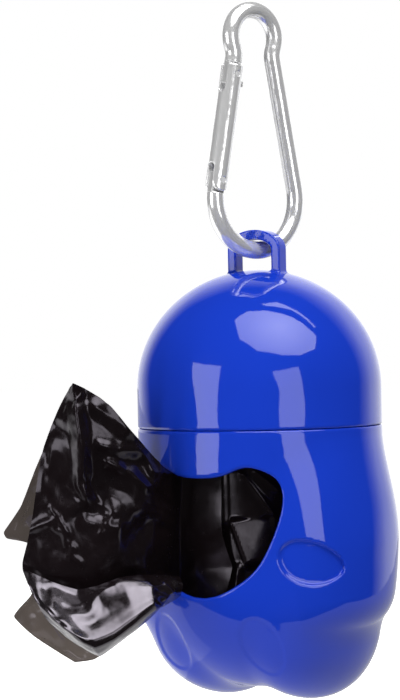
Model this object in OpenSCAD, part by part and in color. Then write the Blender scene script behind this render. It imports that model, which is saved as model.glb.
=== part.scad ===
// Dog waste bag dispenser: a two-part paw-shaped case that hangs from a
// spring-gate carabiner and feeds bags from a roll.
// The origin is the inner face of the carabiner's top bow, where a lead hangs.
// +Z is up and the feed opening looks along -Y. Depths are measured down from
// the crown of the cap.

/* [Case] */
// Outside diameter of the cap and of the shell at the seam
case_d = 47; // [44:0.5:52]
// Height of the cap from its crown to the seam
cap_h = 30; // [28:0.5:34]
// Height of the domed part of the cap
dome_h = 22.5; // [18:0.5:22.5]
// Wall thickness of both mouldings
wall = 1.6; // [1.2:0.1:2]

/* [Closure] */
// Height of the shell's spigot inside the cap
spigot_h = 7; // [5:0.5:7]
// Radial clearance between the spigot and the cap
spigot_clear = 0.25; // [0.2:0.05:0.4]
// How far the snap bead stands out of the spigot
bead_proud = 0.2; // [0.1:0.05:0.2]

/* [Eye on the cap] */
// Height of the eye above the crown
eye_h = 7.7; // [7:0.1:10]
// Outside width of the eye
eye_w = 11.6; // [11:0.1:14]
// Thickness of the eye's strap
eye_t = 1.9; // [1.5:0.1:2.4]
// Depth of the eye's strap from front to back
eye_depth = 3; // [2.4:0.1:4]
// Height of the rounded arch at the top of the eye
eye_arch_h = 3.8; // [3:0.1:4.5]
// Gap between the eye and the wire that it hangs on
hang_gap = 0.3; // [0.2:0.05:0.4]

/* [Paw shell] */
// Height of the palm below the cap's crown, at the cleft between the toes
palm_h = 80; // [79:0.5:82]
// Depth at which the palm starts to round in
palm_turn = 58; // [54:0.5:60]
// How far the outer toes' centres stand off the axis
outer_toe_x = 12.5; // [11:0.1:13]
// Depth of the outer toes' centres
outer_toe_depth = 52; // [50:0.5:54]
// Half width of an outer toe
outer_toe_a = 13.8; // [13.5:0.1:15]
// Half length of an outer toe from front to back
outer_toe_b = 19; // [17:0.5:20]
// How far an outer toe reaches above its centre
outer_toe_up = 30; // [26:0.5:32]
// How far an outer toe reaches below its centre
outer_toe_down = 23.5; // [22:0.5:25]
// How far the inner toes' centres stand off the axis
inner_toe_x = 9.3; // [8.5:0.1:9.8]
// Depth of the inner toes' centres
inner_toe_depth = 66.8; // [65:0.2:68]
// Half width of an inner toe
inner_toe_a = 12.5; // [12.3:0.1:13.5]
// Half length of an inner toe from front to back
inner_toe_b = 20; // [18:0.5:20.5]
// Half height of an inner toe
inner_toe_c = 15.5; // [15:0.1:16.5]
// Sharpness of the creases between the lobes, larger is crisper
crease = 40; // [24:2:60]

/* [Toe pads] */
// Depth of the recessed pads
pad_recess = 0.6; // [0.4:0.1:0.8]
// Half width of an outer toe pad
outer_pad_a = 4; // [3:0.1:4.5]
// Half height of an outer toe pad
outer_pad_b = 5.1; // [4:0.1:5.5]
// Distance of an outer toe pad from the axis
outer_pad_x = 19.3; // [18.5:0.1:20]
// Depth of an outer toe pad's centre
outer_pad_depth = 54.3; // [53:0.1:56]
// Half width of an inner toe pad
inner_pad_a = 3.6; // [3:0.1:4]
// Half height of an inner toe pad
inner_pad_b = 5.5; // [4.5:0.1:5.5]
// Distance of an inner toe pad from the axis
inner_pad_x = 9.9; // [9:0.1:10.5]
// Depth of an inner toe pad's centre
inner_pad_depth = 70.2; // [69.5:0.1:71]

/* [Bag roll] */
// Outside diameter of the wound bags
roll_d = 30; // [26:0.5:31]
// Length of the roll
roll_l = 55; // [50:0.5:56]
// Outside diameter of the cardboard core
core_d = 16; // [14:0.5:18]
// Wall of the cardboard core
core_wall = 1; // [0.8:0.1:1.5]
// How far the core stands out of the film at each end
core_proud = 0.5; // [0:0.1:1]
// Gap between the roll and the floor that it rests on
roll_gap = 0.3; // [0.2:0.05:0.4]

/* [Leading bag] */
// Length of the bunched film outside the opening
tail_l = 28.5; // [26:0.5:31]
// Sideways lean of the bunch, in degrees from straight ahead
tail_lean = 24; // [15:1:30]
// Half thickness of the bunch at its thickest
tail_b = 9; // [7:0.5:11]
// Depth of the folds, as a share of the bunch's radius
tail_fold = 0.13; // [0.05:0.01:0.16]

/* [Carabiner] */
// Overall length of the carabiner
carabiner_l = 49.7; // [48:0.1:55]
// Diameter of the frame's wire
wire_d = 3.4; // [3:0.1:3.6]
// Centre-line radius of the top bow
top_bow_r = 5.4; // [5.2:0.1:6]
// Centre-line radius of the neck below the top bow
neck_r = 4; // [3:0.1:5]
// Centre-line half width at the neck
neck_half = 4.75; // [4.6:0.05:5]
// Centre-line radius of the bottom bow
bottom_bow_r = 9.9; // [9.5:0.1:10.5]
// Turn of the carabiner's plane from the case's front
carabiner_turn = 70; // [60:1:80]

/* [Gate] */
// Diameter of the gate
gate_d = 4.2; // [4:0.1:4.6]
// Thickness of the frame's flattened ends
tongue_t = 1.5; // [1.2:0.1:1.6]
// Clearance on each side of a flattened end in its slot
slot_clear = 0.1; // [0.1:0.05:0.2]
// Gap between the gate's ends and the frame
gate_gap = 0.3; // [0.25:0.05:0.4]
// Length of straight wire between the neck and the gate's top end
nose_drop = 1; // [0.5:0.1:1.5]
// How far the gate's lower end reaches past the straight of the leg
foot_drop = 0.9; // [0.5:0.1:1.2]
// Diameter of the hinge rivet
rivet_d = 1.2; // [1:0.1:1.3]
// Diameter of the latch pin
latch_d = 1.1; // [1:0.1:1.2]
// Radial clearance of the hinge rivet in the frame
rivet_clear = 0.05; // [0.02:0.01:0.08]
// Distance of the latch pin below the gate's top end
latch_drop = 1.9; // [1.8:0.1:2.2]
// Length of the slot at the latch end
latch_slot_l = 5.6; // [5:0.1:6.5]
// Length of the slot at the hinge end
hinge_slot_l = 5.2; // [5:0.1:6]
// Diameter of the bore that holds the spring
bore_d = 2.4; // [2.2:0.1:2.5]
// Depth of that bore above the pivot
bore_l = 13; // [12:0.5:16]
// Wire diameter of the gate spring
spring_wire_d = 0.35; // [0.3:0.05:0.4]
// Turns of the gate spring
spring_turns = 10; // [7:1:12]

/* [Hidden] */
$fn = 64;
blue = "#1420c8";
metal = "#c9cbcf";
steel = "#9a9da3";
film = "#17171b";
card = "#b79a72";

// The carabiner's own plane: x across, z up, the gate at -x.
wire_r = wire_d / 2;
gate_r = gate_d / 2;
top_bow_z = wire_r - top_bow_r;
bottom_bow_z = wire_r - (carabiner_l - wire_d) + bottom_bow_r;
neck_turn = acos((neck_half + neck_r) / (top_bow_r + neck_r));
neck_x = neck_half + neck_r;
neck_z = top_bow_z - (top_bow_r + neck_r) * sin(neck_turn);
// The straight leg is tangent to the neck's curve and to the bottom bow.
bow_gap = norm([neck_x, neck_z - bottom_bow_z]);
leg_slope = asin((neck_r + bottom_bow_r) / bow_gap) - atan2(neck_x, neck_z - bottom_bow_z);
leg_top = [neck_x - neck_r * cos(leg_slope), neck_z - neck_r * sin(leg_slope)];
leg_foot = [bottom_bow_r * cos(leg_slope), bottom_bow_z + bottom_bow_r * sin(leg_slope)];
leg_l = norm(leg_top - leg_foot);

wire_lap = 0.15;
wire_step = 0.01;

// The gate's own axis runs up the leg from the pivot, with +x outward.
pivot_up = gate_r + gate_gap - foot_drop;
gate_foot = -gate_r;
shoulder_z = leg_l - pivot_up - nose_drop;
gate_top = shoulder_z - gate_gap;
latch_z = gate_top - latch_drop;
// The frame's ends are flattened, and their edges trimmed inside the wire.
tongue_trim = 0.2;
tongue_w = wire_d - 2 * tongue_trim;
tongue_root = 0.5;
slot_w = tongue_t + 2 * slot_clear;
rivet_r = rivet_d / 2;
latch_r = latch_d / 2;
// Rivet and pin end just below the gate's surface.
pin_l = gate_d - 0.2;
latch_gap = 0.2;
latch_side_gap = 0.1;
hook_t = 1.2;
hook_reach = gate_r + 0.5;
// The spring's foot waits just above the hinge tongue, which pushes it up as the gate opens.
spring_end_gap = 0.05;
spring_foot = tongue_w / 2 + 3 * spring_end_gap;
spring_top = bore_l - 2 * spring_end_gap;
spring_side_gap = 0.12;
spring_r = bore_d / 2 - spring_side_gap - spring_wire_d / 2;

// The case hangs by its eye on the bottom bow.
wire_top_z = bottom_bow_z - bottom_bow_r + wire_r;
eye_top_z = wire_top_z + hang_gap + eye_t;
crown_z = eye_top_z - eye_h;
case_r = case_d / 2;
seam_z = crown_z - cap_h;
socket_r = case_r - wall;
spigot_r = socket_r - spigot_clear;
bead_z = seam_z + spigot_h / 2;
bead_w = 1.2;
spigot_bore_r = spigot_r - wall;
spigot_lead_in = 0.5;
// How deep the spigot's foot is sunk in the shell's wall, and the eye's in the
// cap's.
spigot_root = 0.4;
eye_root = 2;
// Cuts run this far past the faces that they cut, and those from the front
// reach past the lobes.
over = 1;
front_reach = case_r + 6;

function depth_z(depth) = crown_z - depth;
function mirror_list(points) = [for (p = points) [-p[0], p[1]]];

// A smooth closed curve through points: Catmull-Rom, n steps a span.
function spline_point(a, b, c, d, t) =
    0.5 * (2 * b + (c - a) * t + (2 * a - 5 * b + 4 * c - d) * t * t
    + (3 * b - a - 3 * c + d) * t * t * t);
function closed_spline(p, n) = let (m = len(p))
    [for (i = [0 : m - 1], j = [0 : n - 1])
        spline_point(p[(i + m - 1) % m], p[i], p[(i + 1) % m], p[(i + 2) % m], j / n)];

// Lobes of the paw: each is [centre, half axes], and r_lobe is how far a ray
// from a point inside travels before it leaves the lobe.
function r_lobe(from, dir, centre, half) =
    let (d = [for (k = [0 : 2]) dir[k] / half[k]],
         o = [for (k = [0 : 2]) (from[k] - centre[k]) / half[k]],
         a = d * d, b = o * d, c = o * o - 1, disc = b * b - a * c)
    disc < 0 ? 0 : max(0, (sqrt(disc) - b) / a);
function outer_toe_r(from, dir, side, inset) =
    let (c = [side * outer_toe_x, 0, depth_z(outer_toe_depth)],
         reach = from[2] > c[2] ? outer_toe_up : outer_toe_down)
    r_lobe(from, dir, c, [outer_toe_a - inset, outer_toe_b - inset, reach - inset]);
function inner_toe_r(from, dir, side, inset) =
    r_lobe(from, dir, [side * inner_toe_x, 0, depth_z(inner_toe_depth)],
        [inner_toe_a - inset, inner_toe_b - inset, inner_toe_c - inset]);
function palm_r(from, dir, inset) =
    let (turn_z = depth_z(palm_turn), start = [0, 0, min(from[2], turn_z)])
    r_lobe(start, dir, [0, 0, turn_z],
        [case_r - inset, case_r - inset, palm_h - palm_turn - inset]);
// The lobes run into each other in a narrow fillet, by a power mean.
function paw_r(from, dir, inset) =
    let (r = [palm_r(from, dir, inset),
              outer_toe_r(from, dir, 1, inset), outer_toe_r(from, dir, -1, inset),
              inner_toe_r(from, dir, 1, inset), inner_toe_r(from, dir, -1, inset)],
         top = max(r),
         s = [for (v = r) pow(v / top, crease)])
    top * pow(s * [1, 1, 1, 1, 1], 1 / crease);

// The solid paw, from the seam down: level rings, then rays fanned from a
// point low on the axis.
module paw_solid(inset, top_z, around, rings, fan) {
    hub_z = depth_z(palm_turn + 4);
    function ring_dir(i) = [cos(i * 360 / around), sin(i * 360 / around), 0];
    level = [for (j = [0 : rings]) let (z = top_z + (hub_z - top_z) * j / rings)
        for (i = [0 : around - 1]) let (d = ring_dir(i),
            r = j == 0 ? case_r - inset : paw_r([0, 0, z], d, inset))
            [d[0] * r, d[1] * r, z]];
    fanned = [for (j = [1 : fan - 1]) let (dip = 90 * j / fan)
        for (i = [0 : around - 1]) let (h = ring_dir(i),
            d = [h[0] * cos(dip), h[1] * cos(dip), -sin(dip)],
            r = paw_r([0, 0, hub_z], d, inset))
            [d[0] * r, d[1] * r, hub_z + d[2] * r]];
    bottom = [[0, 0, hub_z - paw_r([0, 0, hub_z], [0, 0, -1], inset)]];
    rows = rings + fan;
    last = rows * around;
    polyhedron(
        points = concat(level, fanned, bottom),
        faces = concat(
            [[for (i = [around - 1 : -1 : 0]) i]],
            [for (j = [0 : rows - 2], i = [0 : around - 1])
                let (a = j * around + i, b = j * around + (i + 1) % around)
                for (f = [[a, b, a + around], [b, b + around, a + around]]) f],
            [for (i = [0 : around - 1])
                [(rows - 1) * around + i, (rows - 1) * around + (i + 1) % around, last]]),
        convexity = 6);
}

// Feed opening, as half an outline seen from the front: [x, depth].
opening_half = [[4.5, 38.4], [9.5, 36.8], [14, 38.9], [15.3, 43.2], [14, 49.3],
                [10.7, 55.6], [5.3, 59.7]];
opening_top = [0, 38.8];
opening_tip = [0, 61];
module feed_opening() {
    outline = concat([opening_top], opening_half, [opening_tip],
        mirror_list([for (i = [len(opening_half) - 1 : -1 : 0]) opening_half[i]]));
    rotate([90, 0, 0])
        linear_extrude(front_reach)
            polygon([for (p = closed_spline(outline, 5)) [p[0], depth_z(p[1])]]);
}

module pad_prism(x, depth, a, b) {
    translate([x, 0, depth_z(depth)])
        rotate([90, 0, 0])
            linear_extrude(front_reach)
                polygon([for (t = [0 : 12 : 348]) [a * cos(t), b * sin(t)]]);
}
module toe_pads() {
    for (side = [-1, 1]) {
        pad_prism(side * outer_pad_x, outer_pad_depth, outer_pad_a, outer_pad_b);
        pad_prism(side * inner_pad_x, inner_pad_depth, inner_pad_a, inner_pad_b);
    }
}

module paw_shell() color(blue) {
    difference() {
        paw_solid(0, seam_z, 72, 10, 12);
        paw_solid(wall, seam_z + 0.01, 60, 8, 10);
        feed_opening();
        difference() {
            toe_pads();
            paw_solid(pad_recess, seam_z, 72, 10, 12);
        }
    }
    rotate_extrude($fn = 72) polygon([
        [spigot_bore_r, seam_z], [socket_r + spigot_root, seam_z - wall],
        [socket_r + spigot_root, seam_z], [spigot_r, seam_z],
        [spigot_r, bead_z - bead_w / 2], [spigot_r + bead_proud, bead_z],
        [spigot_r, bead_z + bead_w / 2], [spigot_r, seam_z + spigot_h - spigot_lead_in],
        [spigot_r - spigot_lead_in, seam_z + spigot_h], [spigot_bore_r, seam_z + spigot_h]]);
}

// A quarter of an ellipse, from the dome's widest line up to its crown.
dome_steps = 18;
function dome_curve(r, h) = [for (i = [0 : dome_steps]) let (t = 90 * i / dome_steps)
    [r * cos(t), depth_z(dome_h) + h * sin(t)]];
module cap_profile(r, h, foot_z) polygon(concat([[0, foot_z], [r, foot_z]], dome_curve(r, h)));
module cap() color(blue) {
    rotate_extrude($fn = 72) difference() {
        cap_profile(case_r, dome_h, seam_z);
        cap_profile(socket_r, dome_h - wall, seam_z - over);
        polygon([[socket_r - over, bead_z - bead_w / 2], [socket_r, bead_z - bead_w / 2],
            [socket_r + bead_proud, bead_z], [socket_r, bead_z + bead_w / 2],
            [socket_r - over, bead_z + bead_w / 2]]);
    }
    difference() {
        translate([0, eye_depth / 2, 0]) rotate([90, 0, 0]) linear_extrude(eye_depth)
            difference() {
                eye_outline(eye_w / 2, eye_arch_h, eye_top_z, eye_root);
                eye_outline(eye_w / 2 - eye_t, eye_arch_h - eye_t, eye_top_z - eye_t,
                    eye_root + over);
            }
        rotate_extrude($fn = 72) cap_profile(socket_r, dome_h - wall, seam_z);
    }
}
// An arch: half an ellipse on two straight legs that go below the crown.
module eye_outline(half, arch, top, below) {
    polygon(concat([[half, crown_z - below], [-half, crown_z - below]],
        [for (t = [180 : -7.5 : 0]) [half * cos(t), top - arch + arch * sin(t)]]));
}
module bag_roll() color(film) roll_place() difference() {
    cylinder(d = roll_d, h = roll_l);
    translate([0, 0, -over]) cylinder(d = core_d, h = roll_l + 2 * over);
}
module roll_core() color(card) roll_place() translate([0, 0, -core_proud]) difference() {
    core_l = roll_l + 2 * core_proud;
    cylinder(d = core_d, h = core_l);
    translate([0, 0, -over]) cylinder(d = core_d - 2 * core_wall, h = core_l + 2 * over);
}
// The roll's rim rests where the palm rounds in, in front and behind.
rest_share = sqrt(1 - pow(roll_d / 2 / (case_r - wall), 2));
rest_depth = palm_turn + (palm_h - palm_turn - wall) * rest_share;
module roll_place() translate([0, 0, depth_z(rest_depth) + roll_gap]) children();

// The leading bag: it leaves the roll as a narrow fold of film beside it, runs
// straight ahead to the opening, and fans out in a bunch with an open mouth. The
// fan's stations are [share of the length, top depth, bottom depth, front leaf,
// back leaf], the leaves as shares of the bunch's half thickness.
tail_stations = [[0, 41, 54.5, 0.34, 0.34], [0.05, 39.5, 56, 0.36, 0.36],
                 [0.11, 35.5, 61, 0.5, 0.5], [0.2, 31, 65.7, 0.65, 0.62],
                 [0.36, 25, 69.7, 0.78, 0.8], [0.56, 22.1, 71.2, 0.76, 0.97],
                 [0.82, 20.5, 71, 0.6, 1.13], [0.9, 24, 70, 0.4, 1.18], [1, 30, 66, 0.16, 1.22]];
// The lower flap stands this far proud of the front leaf, at this depth.
flap_proud = 5.4;
flap_depth = 62;
flap_reach = 6;
// The mouth's inside, as [share of the length, share of the section].
mouth = [[0.985, 0.8], [0.86, 0.66], [0.68, 0.4]];
fold_y = [-8, -12, -16];
fold_top = 40;
fold_foot = 49;
fold_t = 0.6;
fold_x = -(sqrt(pow(roll_d / 2, 2) - pow(fold_y[0], 2)) + roll_gap + fold_t / 2);
// Where the fan starts, in the opening.
neck = [fold_x + 5.1, -21.2];
function tail_fold_at(t, a) = 1 + tail_fold * min(1, t * 5) * (sin(5 * a + 200 * t)
    + 0.6 * sin(9 * a - 340 * t + 40)) / 1.6;
// The leaves end at different distances, least at the peak.
function tail_reach(t, a) = 1 - t * t * (0.05 * (1 + cos(a))
    + (sin(a) > 0 ? 0.16 : 0.08) * abs(sin(a)));
function tail_at(t) = let (n = len(tail_stations),
    i = max(0, len([for (s = tail_stations) if (s[0] <= t) 1]) - 1),
    a = tail_stations[i], b = tail_stations[min(n - 1, i + 1)],
    k = b[0] > a[0] ? (t - a[0]) / (b[0] - a[0]) : 0)
    a + (b - a) * k;
// A point of the section at share t and angle a, as [distance, offset, depth],
// drawn in towards the section's middle to share k.
function tail_point(t, a, k) = let (s = tail_at(t), c = cos(a), fold = tail_fold_at(t, a),
    mid = (s[1] + s[2]) / 2, middle = tail_b * (s[3] - s[4]) / 2,
    depth = mid - (s[2] - s[1]) / 2 * sin(a) * fold,
    flap = c > 0 ? flap_proud * min(1, t * 4) * c
        * exp(-pow((depth - flap_depth) / flap_reach, 2)) : 0,
    leaf = tail_b * (c > 0 ? s[3] : -s[4]) * pow(abs(c), 0.75) * fold + flap)
    [t * tail_l * tail_reach(t, a), middle + k * (leaf - middle), mid + k * (depth - mid)];
module bag_tail() color(film) {
    around = 36;
    rings = 16;
    dir = [-sin(tail_lean), -cos(tail_lean)];
    side = [cos(tail_lean), -sin(tail_lean)];
    angles = [for (i = [0 : around - 1]) i * 360 / around];
    fold_mid = (fold_top + fold_foot) / 2;
    fold_half = (fold_foot - fold_top) / 2;
    fold = [for (y = fold_y) for (a = angles)
        [fold_x + fold_t / 2 * cos(a), y, depth_z(fold_mid - fold_half * sin(a))]];
    fan = [for (ring = concat([for (j = [0 : rings]) [j / rings, 1]], mouth)) for (a = angles)
        let (p = tail_point(ring[0], a, ring[1]))
        [neck[0] + dir[0] * p[0] + side[0] * p[1], neck[1] + dir[1] * p[0] + side[1] * p[1],
         depth_z(p[2])]];
    last = len(fold_y) + rings + len(mouth);
    polyhedron(points = concat(fold, fan), faces = concat(
        [[for (i = [0 : around - 1]) i]],
        [[for (i = [around - 1 : -1 : 0]) last * around + i]],
        [for (j = [0 : last - 1], i = [0 : around - 1])
            let (a = j * around + i, b = j * around + (i + 1) % around)
            for (f = [[a, a + around, b], [b, a + around, b + around]]) f]),
        convexity = 8);
}

module in_carabiner() rotate([0, 0, carabiner_turn]) children();
// From the pivot up the gate's leg: z along the leg, +x outward.
module on_gate_leg() {
    foot = [-leg_foot[0], leg_foot[1]];
    in_carabiner()
        translate([foot[0] + pivot_up * sin(leg_slope), 0, foot[1] + pivot_up * cos(leg_slope)])
            rotate([0, leg_slope, 0]) mirror([1, 0, 0]) children();
}
// A stretch of wire bent in the carabiner's plane, from angle a to angle b.
module wire_arc(x, z, r, a, b, wire = wire_r) translate([x, 0, z]) rotate([90, 0, 0])
    rotate([0, 0, a]) rotate_extrude(angle = b - a, $fn = 96)
        translate([r, 0]) circle(wire, $fn = 40);
// Each stretch runs a little way into the next, and is a hair thinner than it
// there, so that the stretches join along clean circles.
module carabiner_frame() color(metal) {
    lap_turn = wire_lap / neck_r * 180 / PI;
    in_carabiner() {
        wire_arc(0, top_bow_z, top_bow_r, -neck_turn, 180 + neck_turn);
        wire_arc(neck_x, neck_z, neck_r, 180 - neck_turn - lap_turn, 180 + leg_slope,
            wire_r - wire_step);
        wire_arc(-neck_x, neck_z, neck_r, -leg_slope, neck_turn + lap_turn,
            wire_r - wire_step);
        wire_arc(0, bottom_bow_z, bottom_bow_r,
            180 - leg_slope + foot_drop / bottom_bow_r * 180 / PI, 360 + leg_slope);
        translate([leg_foot[0], 0, leg_foot[1]]) rotate([0, -leg_slope, 0])
            translate([0, 0, -wire_lap])
                cylinder(r = wire_r - 2 * wire_step, h = leg_l + 2 * wire_lap, $fn = 40);
    }
    on_gate_leg() {
        hinge_tongue();
        nose();
        translate([0, 0, shoulder_z])
            cylinder(r = wire_r - 2 * wire_step, h = nose_drop + wire_lap, $fn = 40);
    }
}
module hinge_tongue() difference() {
    translate([-tongue_w / 2, -tongue_t / 2, gate_foot - gate_gap - tongue_root])
        cube([tongue_w, tongue_t, gate_r + gate_gap + tongue_root + tongue_w / 2]);
    rotate([90, 0, 0]) cylinder(r = rivet_r + rivet_clear, h = wire_d, center = true, $fn = 32);
}
// The nose: a flat hook that the latch pin drops into from the inside.
module nose() {
    stem_x = latch_r + latch_side_gap;
    stem_w = wire_r - tongue_trim / 2 - stem_x;
    top_z = shoulder_z + tongue_root;
    hook_z = latch_z - latch_r - latch_gap;
    translate([stem_x, -tongue_t / 2, hook_z - hook_t])
        cube([stem_w, tongue_t, top_z - hook_z + hook_t]);
    translate([-hook_reach, -tongue_t / 2, hook_z - hook_t])
        cube([hook_reach + stem_x + stem_w, tongue_t, hook_t]);
    translate([-tongue_w / 2, -tongue_t / 2, latch_z + latch_r + latch_gap])
        cube([stem_x + stem_w + tongue_w / 2, tongue_t,
              top_z - latch_z - latch_r - latch_gap]);
}

module carabiner_gate() color(metal) on_gate_leg() difference() {
    union() {
        cylinder(r = gate_r, h = gate_top, $fn = 48);
        intersection() {
            translate([0, 0, -gate_r]) cylinder(r = gate_r, h = gate_r, $fn = 48);
            rotate([90, 0, 0]) cylinder(r = gate_r, h = 2 * gate_d, center = true, $fn = 48);
        }
    }
    gate_slot(gate_foot - over, gate_foot + hinge_slot_l, 1);
    gate_slot(gate_top + over, gate_top - latch_slot_l, -1);
    translate([0, 0, gate_foot - over])
        cylinder(d = bore_d, h = bore_l - gate_foot + over, $fn = 32);
    rotate([90, 0, 0]) cylinder(r = rivet_r, h = gate_d + over, center = true, $fn = 32);
    translate([0, 0, latch_z]) rotate([90, 0, 0])
        cylinder(r = latch_r, h = gate_d + over, center = true, $fn = 32);
}
// A slot milled right across the gate, with a round end at z = b.
module gate_slot(a, b, way) {
    end = b - way * slot_w / 2;
    translate([-gate_d, -slot_w / 2, min(a, end)]) cube([2 * gate_d, slot_w, abs(end - a)]);
    translate([0, 0, end]) rotate([0, 90, 0])
        cylinder(d = slot_w, h = 2 * gate_d, center = true, $fn = 32);
}
module gate_hinge_rivet() color(steel) on_gate_leg()
    rotate([90, 0, 0]) cylinder(r = rivet_r, h = pin_l, center = true, $fn = 32);
module gate_latch_pin() color(steel) on_gate_leg() translate([0, 0, latch_z])
    rotate([90, 0, 0]) cylinder(r = latch_r, h = pin_l, center = true, $fn = 32);
module gate_spring() color(steel) on_gate_leg() {
    per = 8;
    sides = 6;
    steps = spring_turns * per;
    pitch = (spring_top - spring_foot - spring_wire_d) / spring_turns;
    points = [for (i = [0 : steps], k = [0 : sides - 1]) let (a = i * 360 / per,
        b = k * 360 / sides, r = spring_r + spring_wire_d / 2 * cos(b))
        [r * cos(a), r * sin(a),
         spring_foot + spring_wire_d / 2 + pitch * i / per + spring_wire_d / 2 * sin(b)]];
    polyhedron(points = points, faces = concat(
        [[for (k = [sides - 1 : -1 : 0]) k]],
        [[for (k = [0 : sides - 1]) steps * sides + k]],
        [for (i = [0 : steps - 1], k = [0 : sides - 1])
            let (a = i * sides + k, b = i * sides + (k + 1) % sides)
            for (f = [[a, b, a + sides], [b, b + sides, a + sides]]) f]),
        convexity = 10);
}

carabiner_frame();
carabiner_gate();
gate_hinge_rivet();
gate_latch_pin();
gate_spring();
cap();
paw_shell();
bag_roll();
roll_core();
bag_tail();
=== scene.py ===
"""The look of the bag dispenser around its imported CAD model.

Lengths are in millimetres until a mesh is made.
"""
import math

import bpy
import numpy as np
from mathutils import Matrix, Vector


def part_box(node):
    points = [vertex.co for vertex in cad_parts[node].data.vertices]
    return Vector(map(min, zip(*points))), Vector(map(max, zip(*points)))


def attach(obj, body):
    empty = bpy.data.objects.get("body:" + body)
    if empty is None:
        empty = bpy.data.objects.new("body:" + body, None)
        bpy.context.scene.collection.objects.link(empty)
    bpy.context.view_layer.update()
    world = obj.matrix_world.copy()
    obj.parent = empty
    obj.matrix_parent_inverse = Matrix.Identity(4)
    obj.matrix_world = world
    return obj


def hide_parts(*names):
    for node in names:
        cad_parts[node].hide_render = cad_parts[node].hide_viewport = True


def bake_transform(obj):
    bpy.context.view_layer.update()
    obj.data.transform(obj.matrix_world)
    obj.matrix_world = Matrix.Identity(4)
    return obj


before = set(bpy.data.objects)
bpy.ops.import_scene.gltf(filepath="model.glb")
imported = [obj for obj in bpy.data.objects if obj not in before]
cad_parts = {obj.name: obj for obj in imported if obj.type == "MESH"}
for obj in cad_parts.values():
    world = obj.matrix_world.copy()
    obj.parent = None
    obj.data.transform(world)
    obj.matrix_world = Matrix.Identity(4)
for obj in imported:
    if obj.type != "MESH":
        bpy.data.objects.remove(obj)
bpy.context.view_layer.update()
scene = bpy.context.scene
MM = 0.001

# The CAD's main measures
CROWN_Z = -48.4
SEAM_Z = -78.4
CASE_R = 23.5
DOME_H = 22.5
WALL = 1.6
SOCKET_R = 21.9
SPIGOT_R = 21.65
SPIGOT_H = 7.0
BEAD_PROUD, BEAD_HALF = 0.2, 0.8
TURN_Z = CROWN_Z - 58
PALM_FOOT = 22.0
OUTER_TOE = dict(x=12.5, z=CROWN_Z - 52, a=13.8, b=19.0, up=24.0, down=34.0, heel=17.4)
INNER_TOE = dict(x=9.3, y=1.2, z=CROWN_Z - 66.8, a=12.0, b=19.3, c=15.5)
TOE_LEAN = 0.011
EYE = dict(half=4.85, arch=2.85, top=-40.7 - 0.95, t=0.95, depth=1.5, round=0.3)
# Each pad: its middle, half sizes and tilt, then its depth on the left and on the right, where the inner pad
# has all but faded.
PADS = [(19.3, CROWN_Z - 54.3, 4.7, 3.7, math.radians(-40), 0.75, 0.75),
        (9.9, CROWN_Z - 70.2, 3.6, 5.5, 0.0, 0.3, 0.07)]
OPENING_HALF = [(4.5, 38.4), (9.5, 36.8), (14, 38.9), (15.3, 43.2), (14, 49.3), (10.7, 55.6), (5.3, 59.7)]
OPENING_TOP = (0, 38.8)
OPENING_TIP = (0, 61)

# Camera
# The photograph's width, height and focal length are in its pixels.
PICTURE_W, PICTURE_H, FOCAL = 400, 700, 2600.0
SENSOR = 36
TARGET = np.array([-9.205, -6.537, -63.591])
CAM_DIST = 500.0
AZ, EL, ROLL = math.radians(32), math.radians(0.6), math.radians(-1.1)
TOWARD = np.array([math.sin(AZ) * math.cos(EL), -math.cos(AZ) * math.cos(EL), math.sin(EL)])
_r = np.array([math.cos(AZ), math.sin(AZ), 0.0])
_u = np.cross(TOWARD, _r)
RIGHT = math.cos(ROLL) * _r + math.sin(ROLL) * _u
UP = -math.sin(ROLL) * _r + math.cos(ROLL) * _u


def placed(name, data):
    """A new object in the scene."""
    obj = bpy.data.objects.new(name, data)
    scene.collection.objects.link(obj)
    return obj


def seen_at(px, py, near):
    """The point that the picture shows at px, py, near mm closer than the middle of the view."""
    s = FOCAL / (CAM_DIST - near)
    return TARGET + RIGHT * ((px - PICTURE_W / 2) / s) + UP * ((PICTURE_H / 2 - py) / s) + TOWARD * near


def make_camera():
    data = bpy.data.cameras.new("camera")
    data.sensor_fit = "VERTICAL"
    data.sensor_height = SENSOR
    data.lens = SENSOR * FOCAL / PICTURE_H
    data.clip_start, data.clip_end = 0.01, 50
    cam = placed("camera", data)
    columns = np.column_stack([RIGHT, UP, TOWARD, (TARGET + TOWARD * CAM_DIST) * MM])
    cam.matrix_world = Matrix([*columns.tolist(), (0, 0, 0, 1)])
    scene.camera = cam


# Signed distance tools
# The distance to a cut, on the side that it doesn't reach.
FAR = 9


def soft_min(a, b, k):
    """The smaller of two distances, rounded over k where they meet."""
    h = np.maximum(k - np.abs(a - b), 0) / k
    return np.minimum(a, b) - h * h * k * 0.25


def soft_max(a, b, k):
    return -soft_min(-a, -b, k)


def ellipsoid(q, half):
    """Distance to an ellipse or ellipsoid round the origin, by its half sizes."""
    half = np.asarray(half)
    k0 = np.linalg.norm(q / half, axis=-1)
    k1 = np.linalg.norm(q / (half * half), axis=-1)
    return k0 * (k0 - 1) / np.maximum(k1, 1e-9)


def closed_tube(p, r, h, z0, above):
    """A cylinder of radius r that a half ellipsoid of height h closes above z0, or else below it."""
    end = ellipsoid(p - np.array([0, 0, z0]), (r, r, h))
    wall = np.hypot(p[..., 0], p[..., 1]) - r
    return np.where((p[..., 2] > z0) == above, end, wall)


def box_field(p, lo, hi, r):
    """Distance to a box, by its low and high corner, with edges rounded by r."""
    lo, hi = np.asarray(lo), np.asarray(hi)
    q = np.abs(p - (lo + hi) / 2) - (hi - lo) / 2 + r
    return np.linalg.norm(np.maximum(q, 0), axis=-1) + np.minimum(q.max(-1), 0) - r


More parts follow.
